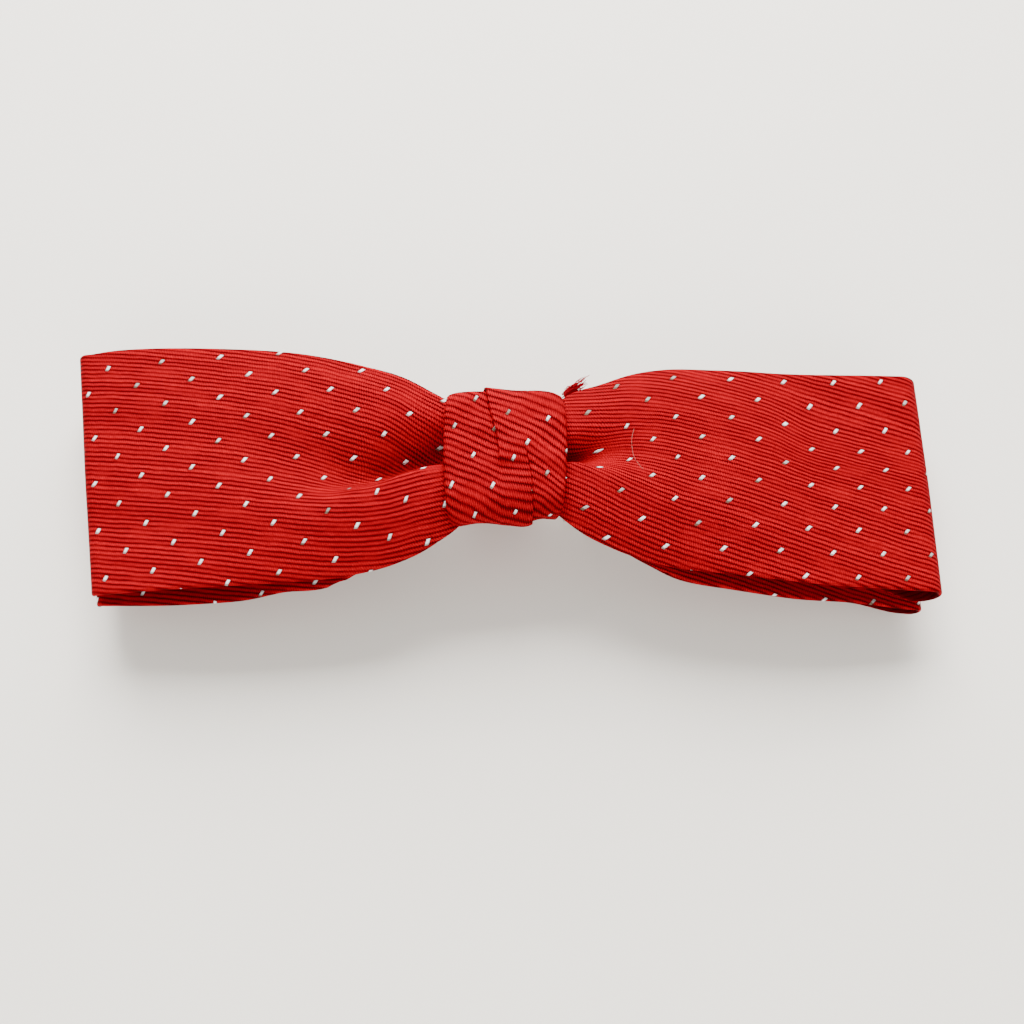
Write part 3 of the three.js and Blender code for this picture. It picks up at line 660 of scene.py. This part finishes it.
def make_stitches():
    """Whip stitches over the wrap's free end at the back: slanted passes of a two-ply thread, and a knot."""
    lo, hi = box_mm("closing_stitches")
    z = hi[2] - 0.12
    y0, y1 = lo[1] + 0.1, hi[1] - 0.05
    rings = []
    for ply in (0, 1):
        points = []
        for k in range(STITCHES):
            x = lo[0] + 0.4 + (hi[0] - lo[0] - 0.8) * k / (STITCHES - 1)
            phase = k * 2.1 + ply * math.pi
            for y, deep in ((y0, 0.12), ((y0 + y1) / 2, -0.10), (y1, 0.12)):
                slanted = x + STITCH_SLANT * (y - y0)
                points.append((slanted + PLY_OFFSET * math.cos(phase), y + PLY_OFFSET * math.sin(phase), z + deep))
                phase += 1.6
        rings.append(strand(points, THREAD_RADIUS, 0.16, 6, ply))
    end = np.array([hi[0] - 0.4, y0, z])
    loop = [end + 0.28 * np.array([math.cos(a), math.sin(a), 0.3 * math.sin(2 * a) - 0.3])
            for a in np.linspace(0, 9, 26)]
    rings.append(strand(loop + [end + (0.5, -0.9, -0.2), end + (0.4, -1.6, -0.1)], THREAD_RADIUS, 0.12, 6, 7))
    obj = strands_mesh("whip_stitches", rings)
    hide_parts("closing_stitches")
    return obj


tuft, stray_hair, stitches = make_tuft(), make_stray_hair(), make_stitches()


# ---------------------------------------------------------------- materials
class Nodes:
    """A node material, with short names for building its tree."""

    def __init__(self, name):
        self.material = bpy.data.materials.new(name)
        self.material.use_nodes = True
        self.tree = self.material.node_tree
        self.tree.nodes.clear()

    def add(self, kind, **values):
        node = self.tree.nodes.new(kind)
        for key, value in values.items():
            setattr(node, key, value)
        return node

    def plug(self, socket, value):
        if isinstance(value, bpy.types.NodeSocket):
            self.tree.links.new(value, socket)
        else:
            socket.default_value = value

    def math(self, op, a, b=0.0, c=0.0, clamp=False):
        node = self.add("ShaderNodeMath", operation=op, use_clamp=clamp)
        for socket, value in zip(node.inputs, (a, b, c)):
            self.plug(socket, value)
        return node.outputs[0]

    def span(self, value, lo, hi, to_lo=0.0, to_hi=1.0, kind="SMOOTHSTEP"):
        node = self.add("ShaderNodeMapRange", interpolation_type=kind)
        for socket, v in zip(node.inputs, (value, lo, hi, to_lo, to_hi)):
            self.plug(socket, v)
        return node.outputs[0]

    def mix(self, factor, a, b):
        node = self.add("ShaderNodeMix", data_type="RGBA")
        self.plug(node.inputs[0], factor)
        self.plug(node.inputs[6], a)
        self.plug(node.inputs[7], b)
        return node.outputs[2]

    def noise(self, vector, scale, detail=2.0, rough=0.5):
        node = self.add("ShaderNodeTexNoise")
        self.plug(node.inputs["Vector"], vector)
        node.inputs["Scale"].default_value = scale
        node.inputs["Detail"].default_value = detail
        node.inputs["Roughness"].default_value = rough
        return node.outputs["Fac"]

    def combine(self, x=0.0, y=0.0, z=0.0):
        node = self.add("ShaderNodeCombineXYZ")
        for socket, v in zip(node.inputs, (x, y, z)):
            self.plug(socket, v)
        return node.outputs[0]

    def position(self):
        return self.add("ShaderNodeTexCoord").outputs["Object"]

    def surface(self, values, height=None, distance=0.0, strength=1.0):
        """The shader and the output. The relief's distance is in metres."""
        shader = self.add("ShaderNodeBsdfPrincipled")
        for name, value in values.items():
            self.plug(shader.inputs[name], value)
        if height is not None:
            bump = self.add("ShaderNodeBump")
            bump.inputs["Strength"].default_value = strength
            bump.inputs["Distance"].default_value = distance
            self.plug(bump.inputs["Height"], height)
            self.plug(shader.inputs["Normal"], bump.outputs[0])
        self.plug(self.add("ShaderNodeOutputMaterial").inputs["Surface"], shader.outputs[0])
        return self.material


SPOT_HALF_LENGTH, SPOT_HALF_WIDTH = 0.43, 0.205
SPOT_ANGLE = 51         # degrees from the row of spots
SPOT_SKEW = 0.35        # how much a spot leans into a parallelogram
FLOAT_WIDTH = 0.165     # one pale float of a spot
CROSSING = 0.33         # from one yarn that crosses a rib to the next
RED = (0.185, 0.0002, 0.0034, 1)
# pale red, reached by the random tone and by the painted highlight on the cords' crowns
RED_PALE_AND_HIGHLIGHT = (0.73, 0.0012, 0.0130, 1)
# dark red for painted shade: in the furrows, in a ring round each spot, and on the loops' inner faces
SHADE_RED = (0.044, 0.0001, 0.0009, 1)
SILVER = (0.97, 0.95, 0.96, 1)
# dim spots, and the painted shade on each spot's lower end
BEIGE = (0.13, 0.09, 0.065, 1)
FLOAT_GAP = (0.10, 0.05, 0.045, 1)


def silk_material():
    n = Nodes("ribbed_silk")
    weave_attr = n.add("ShaderNodeAttribute", attribute_name="weave").outputs["Vector"]
    spots_attr = n.add("ShaderNodeAttribute", attribute_name="spots").outputs["Vector"]
    split = n.add("ShaderNodeSeparateXYZ")
    n.plug(split.inputs[0], weave_attr)
    along, rib, close = split.outputs

    # ribs wander a little and differ a little in width
    wander = n.noise(n.combine(n.math("MULTIPLY", along, 0.35), n.math("MULTIPLY", rib, 0.25)), 1.0, 3.0)
    rib = n.math("ADD", rib, n.math("MULTIPLY", n.math("SUBTRACT", wander, 0.5), 0.5))
    number = n.math("FLOOR", rib)
    part = n.math("SUBTRACT", rib, number)
    off_centre = n.math("MULTIPLY", n.math("ABSOLUTE", n.math("SUBTRACT", part, 0.5)), 2.0)

    # twill: slanted yarn crossings that run over the cords and bite into the furrows
    random_of = n.add("ShaderNodeTexWhiteNoise", noise_dimensions="1D")
    n.plug(random_of.inputs["W"], number)
    per_rib = random_of.outputs["Value"]
    jitter = n.math("MULTIPLY", n.noise(weave_attr, 2.2, 2.0), 0.8)
    crossing = n.math("ADD", n.math("MULTIPLY", along, 1 / CROSSING), n.math("MULTIPLY", part, 1.1))
    crossing = n.math("ADD", n.math("ADD", crossing, per_rib), jitter)
    stitch = n.math("MULTIPLY", n.math("PINGPONG", crossing, 0.5), 2.0)
    grain = n.noise(n.combine(n.math("MULTIPLY", along, 2.3), n.math("MULTIPLY", rib, 2.1)), 1.0, 3.0, 0.7)

    # furrows, painted dark as the shade in the grooves: thin, ragged, and deeper in some stretches than in others
    ragged = n.math("ADD", n.math("MULTIPLY", n.math("SUBTRACT", stitch, 0.5), 0.62),
                    n.math("MULTIPLY", n.math("SUBTRACT", grain, 0.5), 0.55))
    serrated = n.math("ADD", off_centre, ragged)
    depth = n.noise(n.combine(n.math("MULTIPLY", along, 0.16), n.math("MULTIPLY", rib, 0.30), 3.0), 1.0, 3.0, 0.6)
    depth = n.span(depth, 0.32, 0.56, 0.52, 1.0)
    depth = n.math("MULTIPLY", depth, n.span(close, 0.0, 1.0, 1.0, 0.12, "LINEAR"))
    furrow_shade = n.math("MULTIPLY", n.span(serrated, 0.34, 0.80), depth)
    cord = n.math("SQRT", n.math("SUBTRACT", 1.0, n.math("MULTIPLY", off_centre, off_centre), clamp=True))

    # spots: slanted floats of pale yarn at the corners and the middle of each cell
    split_spots = n.add("ShaderNodeSeparateXYZ")
    n.plug(split_spots.inputs[0], spots_attr)
    i, j, inner_face_shade = split_spots.outputs

    def spot(shift):
        """How far out of the nearest spot of one set a place is (1 at its outline), the place in that spot, and
        the spot's own random value."""
        ii, jj = n.math("ADD", i, shift), n.math("ADD", j, shift)
        dx = n.math("MULTIPLY", n.math("SUBTRACT", n.math("FRACT", ii), 0.5), ROW_PITCH)
        dy = n.math("MULTIPLY", n.math("SUBTRACT", n.math("FRACT", jj), 0.5), COLUMN_PITCH)
        c, s = math.cos(math.radians(SPOT_ANGLE)), math.sin(math.radians(SPOT_ANGLE))
        a = n.math("ADD", n.math("MULTIPLY", dx, c), n.math("MULTIPLY", dy, s))
        b = n.math("SUBTRACT", n.math("MULTIPLY", dy, c), n.math("MULTIPLY", dx, s))
        a = n.math("ADD", a, n.math("MULTIPLY", b, SPOT_SKEW))
        ends = n.math("DIVIDE", n.math("ABSOLUTE", a), SPOT_HALF_LENGTH)
        sides = n.math("DIVIDE", n.math("ABSOLUTE", b), SPOT_HALF_WIDTH)
        dice = n.add("ShaderNodeTexWhiteNoise", noise_dimensions="2D")
        n.plug(dice.inputs["Vector"], n.combine(n.math("FLOOR", ii), n.math("FLOOR", jj)))
        return n.math("MAXIMUM", ends, sides), a, b, dice.outputs["Value"]

    d1, a1, b1, dice1 = spot(0.0)
    d2, a2, b2, dice2 = spot(0.5)
    near = n.math("ADD", n.math("MINIMUM", d1, d2), n.math("MULTIPLY", n.math("SUBTRACT", grain, 0.5), 0.5))
    second = n.math("LESS_THAN", d2, d1)

    def either(one, two):
        first = n.math("MULTIPLY", one, n.math("SUBTRACT", 1.0, second))
        return n.math("ADD", first, n.math("MULTIPLY", two, second))

    spot_along, across, dice = either(a1, a2), either(b1, b2), either(dice1, dice2)
    spot_mask = n.span(near, 1.12, 0.88)
    # rim: a ring just outside each spot, used below as a painted shadow round it
    rim = n.math("SUBTRACT", n.span(near, 1.9, 1.05), spot_mask, clamp=True)
    spot_rise = n.span(near, 1.2, 0.5)
    floats = n.math("ABSOLUTE", n.math("SINE", n.math("MULTIPLY", across, math.pi / FLOAT_WIDTH)))
    floats = n.span(floats, 0.05, 0.45)

    # colour: random tone per rib and in the grain, the twill's crossings and slow patches, and a painted highlight
    # on each cord's crown
    fibre = n.noise(weave_attr, 9.0, 3.0, 0.6)
    patches = n.noise(n.position(), 60.0, 2.0)
    tone_and_highlight = n.math("ADD", n.math("MULTIPLY", per_rib, 0.2), n.math("MULTIPLY", grain, 0.9))
    tone_and_highlight = n.math("ADD", tone_and_highlight, n.math("MULTIPLY", n.math("SUBTRACT", 1.0, stitch), 0.35))
    tone_and_highlight = n.math("ADD", tone_and_highlight, n.math("MULTIPLY", patches, 0.06))
    # painted highlight along each cord's rounded crown
    tone_and_highlight = n.math("ADD", tone_and_highlight, n.math("MULTIPLY", cord, 0.3))
    body = n.mix(n.math("POWER", n.span(tone_and_highlight, 0.55, 1.65, kind="LINEAR"), 2.2), RED, RED_PALE_AND_HIGHLIGHT)
    # painted shade: the furrows darkened
    body = n.mix(n.math("MULTIPLY", furrow_shade, 0.92), body, SHADE_RED)
    # painted shadow: a dark ring round each spot
    body = n.mix(n.math("MULTIPLY", rim, 0.6), body, SHADE_RED)
    # painted shade: the loops' inner faces go near-black for the shade deep inside the hollows (the silk's wrong
    # side is also a little duller); the spots are faded there too, below
    body = n.mix(n.math("MULTIPLY", n.span(inner_face_shade, 0.3, 1.0), 0.93), body, SHADE_RED)
    # painted shade: each spot's lower end darker where it tilts away; dulled dims a random share of the spots
    low_end_shade = n.span(spot_along, -0.06, -0.3)
    dulled = n.math("MULTIPLY", n.math("POWER", dice, 3.5), 0.9)
    dimming_and_end_shade = n.math("ADD", dulled, n.math("MULTIPLY", low_end_shade, 0.75), clamp=True)
    silver = n.mix(dimming_and_end_shade, SILVER, BEIGE)
    silver = n.mix(n.math("MULTIPLY", n.math("SUBTRACT", 1.0, floats), 0.4), silver, FLOAT_GAP)
    colour = n.mix(n.math("MULTIPLY", spot_mask, n.span(inner_face_shade, 0.3, 1.0, 1.0, 0.3)), body, silver)

    # relief
    height = n.math("MULTIPLY", cord, n.math("MULTIPLY", depth, 0.85))
    height = n.math("ADD", height, n.math("MULTIPLY", stitch, 0.22))
    height = n.math("MULTIPLY", height, n.math("SUBTRACT", 1.0, spot_mask))
    raised = n.math("MULTIPLY", spot_rise, n.math("ADD", 0.8, n.math("MULTIPLY", floats, 0.3)))
    height = n.math("ADD", height, raised)
    height = n.math("ADD", height, n.math("MULTIPLY", grain, 0.45))

    rough = n.span(spot_mask, 0, 1, 0.55, 0.35, "LINEAR")
    rough = n.math("ADD", rough, n.math("MULTIPLY", fibre, 0.12))
    values = {"Base Color": colour, "Roughness": rough, "Specular IOR Level": 0.01,
              "Metallic": n.math("MULTIPLY", spot_mask, 0.05)}
    return n.surface(values, height, 0.00016, 0.9)


silk = silk_material()
for piece in (front_bow, back_bow, knot):
    piece.data.materials.append(silk)


def thread_material(name, dark, light):
    n = Nodes(name)
    position = n.position()
    twist = n.add("ShaderNodeTexWave", wave_type="BANDS", bands_direction="DIAGONAL")
    n.plug(twist.inputs["Vector"], position)
    twist.inputs["Scale"].default_value = 2600
    twist.inputs["Distortion"].default_value = 2.0
    fuzz = n.noise(position, 3000, 3)
    shade = n.math("ADD", n.math("MULTIPLY", twist.outputs["Fac"], 0.6), n.math("MULTIPLY", fuzz, 0.5))
    values = {"Base Color": n.mix(shade, dark, light), "Roughness": 0.7, "Specular IOR Level": 0.05}
    return n.surface(values, twist.outputs["Fac"], 0.00005)


def steel_material(name, colour, rough, brushed):
    n = Nodes(name)
    position = n.position()
    stretched = n.add("ShaderNodeMapping")
    n.plug(stretched.inputs["Vector"], position)
    stretched.inputs["Scale"].default_value = (1, 14, 3) if brushed else (1, 2, 1)
    scratches = n.noise(stretched.outputs[0], 700, 5, 0.65)
    smudges = n.noise(position, 140, 3)
    shade = n.math("ADD", n.math("MULTIPLY", scratches, 0.35), n.math("MULTIPLY", smudges, 0.75))
    dark = tuple(c * 0.72 for c in colour[:3]) + (1,)
    values = {"Base Color": n.mix(n.span(shade, 0.35, 0.75), dark, colour), "Metallic": 1.0,
              "Roughness": n.span(shade, 0.3, 0.8, rough, rough + 0.22)}
    return n.surface(values, scratches, 0.00003, 0.25)


sewing = thread_material("sewing_thread", (0.16, 0.004, 0.006, 1), (0.42, 0.012, 0.014, 1))
frayed = thread_material("frayed_yarn", (0.12, 0.0003, 0.004, 1), (0.62, 0.002, 0.020, 1))
pale_fibre = thread_material("pale_fibre", (0.34, 0.10, 0.08, 1), (0.55, 0.26, 0.21, 1))
nickel = steel_material("clip_steel", (0.78, 0.77, 0.74, 1), 0.20, False)
spring_steel = steel_material("spring_steel", (0.50, 0.50, 0.51, 1), 0.30, True)
for piece, material in ((tuft, frayed), (stray_hair, pale_fibre), (stitches, sewing)):
    piece.data.materials.append(material)

# the CAD nodes that stay, by a part of their names
NODE_MATERIALS = {
    "waist_binding": sewing, "clip_bar": nickel, "clip_base": nickel, "clip_lever": nickel, "rivet": nickel,
    "hinge_pin": nickel, "clip_spring": spring_steel,
}
for name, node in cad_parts.items():
    for key, material in NODE_MATERIALS.items():
        if key in name:
            node.data.materials.clear()
            node.data.materials.append(material)


# ---------------------------------------------------------------- floor, light and camera
def make_floor():
    half = 1200
    verts = np.array([[-half, -half, 0], [half, -half, 0], [half, half, 0], [-half, half, 0]])
    floor = make_mesh("floor", verts, [[0, 1, 2, 3]], smooth=False)
    n = Nodes("floor_paper")
    paper = n.mix(n.noise(n.position(), 30, 3), (0.84, 0.80, 0.735, 1), (0.88, 0.845, 0.78, 1))
    floor.data.materials.append(n.surface({"Base Color": paper, "Roughness": 0.7}))
    return floor


floor = make_floor()
floor.location.z = CAD_BOX[0].z


def area_light(name, place, target, size, watts, colour=(1, 1, 1)):
    """A soft rectangular light. Places and sizes in metres."""
    data = bpy.data.lights.new(name, "AREA")
    data.shape = "RECTANGLE"
    data.size, data.size_y = size
    data.energy = watts
    data.color = colour
    light = bpy.data.objects.new(name, data)
    light.location = place
    light.rotation_mode = "QUATERNION"
    light.rotation_quaternion = (Vector(target) - Vector(place)).to_track_quat("-Z", "Y")
    bpy.context.scene.collection.objects.link(light)


area_light("key", (-0.06, 0.52, 0.55), (0, 0, 0.01), (0.55, 0.35), 14.6, (1.0, 0.985, 0.96))
area_light("fill", (0.05, -0.55, 0.38), (0, 0, 0.01), (0.7, 0.3), 3.6, (1.0, 0.97, 0.93))
area_light("back_wash", (0.0, 0.75, 0.35), (0, 0.35, 0.0), (0.9, 0.3), 12.0)
world = bpy.data.worlds.new("studio")
world.use_nodes = True
background = world.node_tree.nodes["Background"]
background.inputs["Color"].default_value = (1.0, 0.985, 0.96, 1)
background.inputs["Strength"].default_value = 0.85
bpy.context.scene.world = world

# where the camera stands, and the directions behind it and to its right
CAMERA_PLACE = Vector((-4.11, -59.97, 151.69)) * MM
CAMERA_BACK = Vector((-0.03568, -0.36484, 0.93039))
CAMERA_RIGHT = Vector((0.99896, 0.01354, 0.04362))


def make_camera():
    data = bpy.data.cameras.new("camera")
    data.sensor_width = 36
    data.lens = 38.67
    data.clip_start = 0.005
    camera = bpy.data.objects.new("camera", data)
    back = CAMERA_BACK.normalized()
    right = (CAMERA_RIGHT - back * CAMERA_RIGHT.dot(back)).normalized()
    turn = Matrix((right, back.cross(right), back)).transposed().to_4x4()
    camera.matrix_world = Matrix.Translation(CAMERA_PLACE) @ turn
    bpy.context.scene.collection.objects.link(camera)
    bpy.context.scene.camera = camera


make_camera()

bpy.context.view_layer.update()
